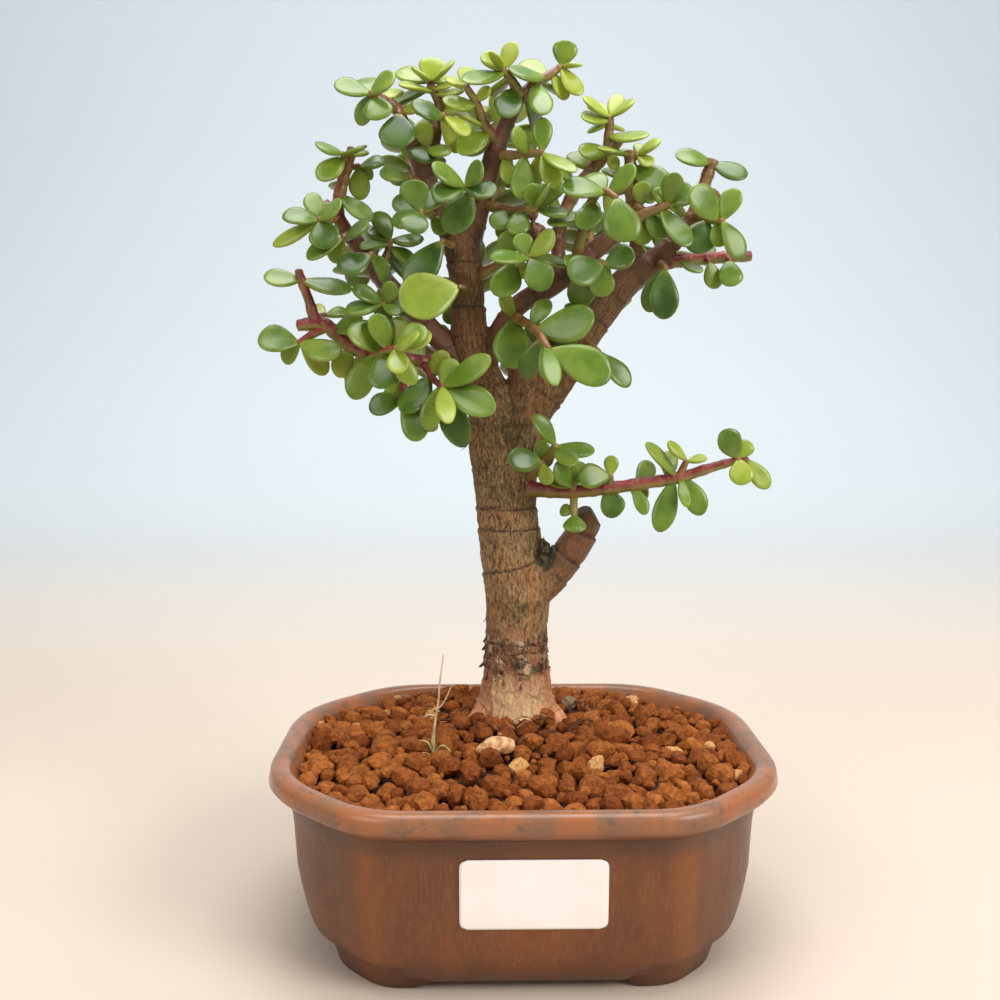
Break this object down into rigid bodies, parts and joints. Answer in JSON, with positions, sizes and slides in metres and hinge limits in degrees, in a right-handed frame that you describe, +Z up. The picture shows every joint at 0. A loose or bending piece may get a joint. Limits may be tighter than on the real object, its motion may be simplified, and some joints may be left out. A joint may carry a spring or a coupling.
{
  "type": "potted jade bonsai",
  "caption": "Small succulent tree with thick trunk, forked crown and fleshy oval leaves, in a low brown glazed pot of granular soil.",
  "frame": {"origin": "centre of the pot's footprint, on the surface its feet stand on", "axes": "+X to the right as seen from the labelled front, +Y to the back, +Z up"},
  "size_m": [0.1608, 0.124, 0.2739],
  "materials": {
    "glaze": "satin",
    "screen": "matt",
    "akadama": "rough",
    "bark": "rough",
    "root": "rough",
    "leaf": "waxy",
    "dry_grass": "matt",
    "label": "satin"
  },
  "bodies": {
    "root": {"pot": "glaze", "drain_screen_left": "screen", "drain_screen_right": "screen", "akadama_soil": "akadama", "blank_label": "label", "trunk": "bark", "exposed_root": "root", "grass_sprig": "dry_grass", "dried_flower_sprig": "dry_grass", "low_right_shoot": "leaf", "low_left_shoot": "leaf", "right_stub_shoot": "leaf", "right_hanging_leaves": "leaf", "upper_right_shoot": "leaf", "upright_shoot": "leaf", "rear_right_shoot": "leaf", "inner_right_shoot": "leaf", "inner_rising_shoot": "leaf", "inner_front_shoot": "leaf", "centre_shoot": "leaf", "right_branch_sprig": "leaf", "mid_shoot": "leaf", "mid_upper_shoot": "leaf", "right_fork_shoot": "leaf", "crest_right_shoot": "leaf", "red_spur_shoot": "leaf", "crest_left_shoot": "leaf", "left_fork_shoot": "leaf", "fork_gap_shoot": "leaf", "leader_upper_shoot": "leaf", "leader_left_shoot": "leaf", "left_end_shoot": "leaf", "fork_side_leaves": "leaf", "left_branch_shoot": "leaf", "left_branch_leaf": "leaf", "left_twig": "leaf", "leader_leaf": "leaf", "leader_front_leaf": "leaf", "left_branch_underside": "leaf", "trunk_spur_shoot": "leaf", "rear_low_left_shoot": "leaf", "rear_left_shoot": "leaf", "rear_left_crest_shoot": "leaf", "rear_leader_shoot": "leaf", "rear_crest_shoot": "leaf", "rear_fork_shoot": "leaf", "rear_centre_shoot": "leaf", "rear_mid_right_shoot": "leaf", "rear_right_end_shoot": "leaf", "rear_inner_shoot": "leaf"}
  },
  "joints": []
}
